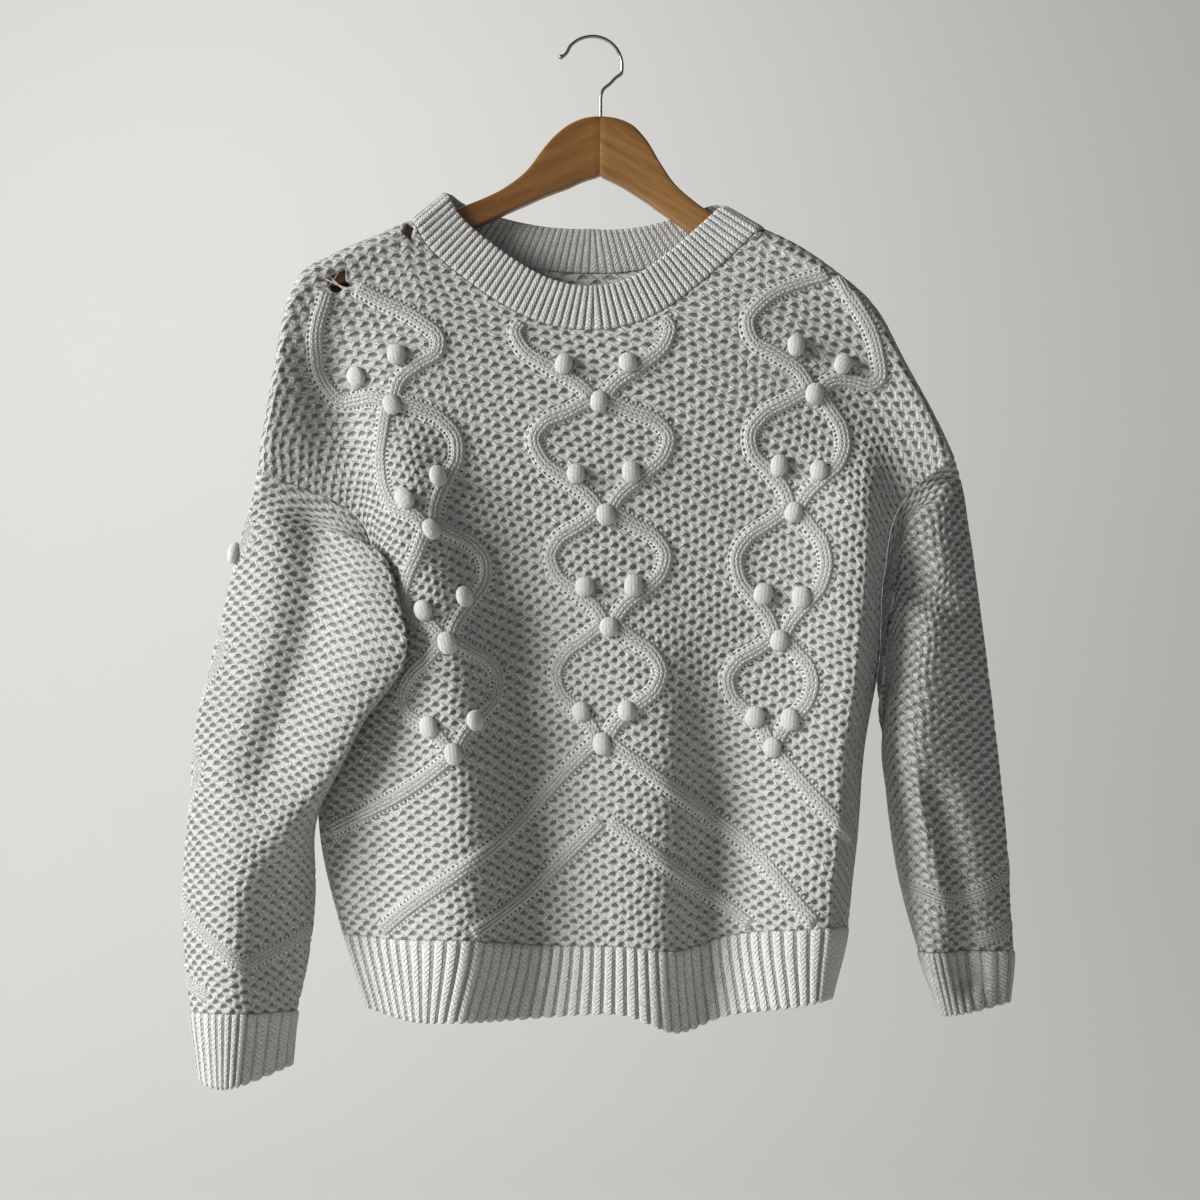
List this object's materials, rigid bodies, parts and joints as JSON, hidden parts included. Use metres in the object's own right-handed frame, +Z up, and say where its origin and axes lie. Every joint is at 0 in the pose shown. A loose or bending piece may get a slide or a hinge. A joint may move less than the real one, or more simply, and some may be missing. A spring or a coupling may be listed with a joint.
{
  "type": "pullover sweater on a wooden hanger",
  "caption": "Long-sleeved cable-and-bobble knit pullover with ribbed neck, welt and cuffs, hung on a wooden hanger with a wire hook.",
  "frame": {"origin": "underside of the hook's crown, where a pin or rail carries it", "axes": "+Z up the hanger's stem, +X to the viewer's right, -Y towards the viewer and the garment's front, +Y towards the wall"},
  "size_m": [0.6217, 0.0878, 0.7865],
  "materials": {
    "knit": "off-white knitted yarn, honeycomb ground with cables and bobbles",
    "rib": "off-white ribbed knitting",
    "wood": "orange-brown lacquered wood",
    "steel": "plated steel wire"
  },
  "bodies": {
    "root": {"front": "knit", "back": "knit", "sleeve_left": "knit", "sleeve_right": "knit", "neckband": "rib", "welt_front": "rib", "welt_back": "rib", "cuff_left": "rib", "cuff_right": "rib", "hanger_arm_left": "wood", "hanger_arm_right": "wood", "hook": "steel"}
  },
  "joints": []
}
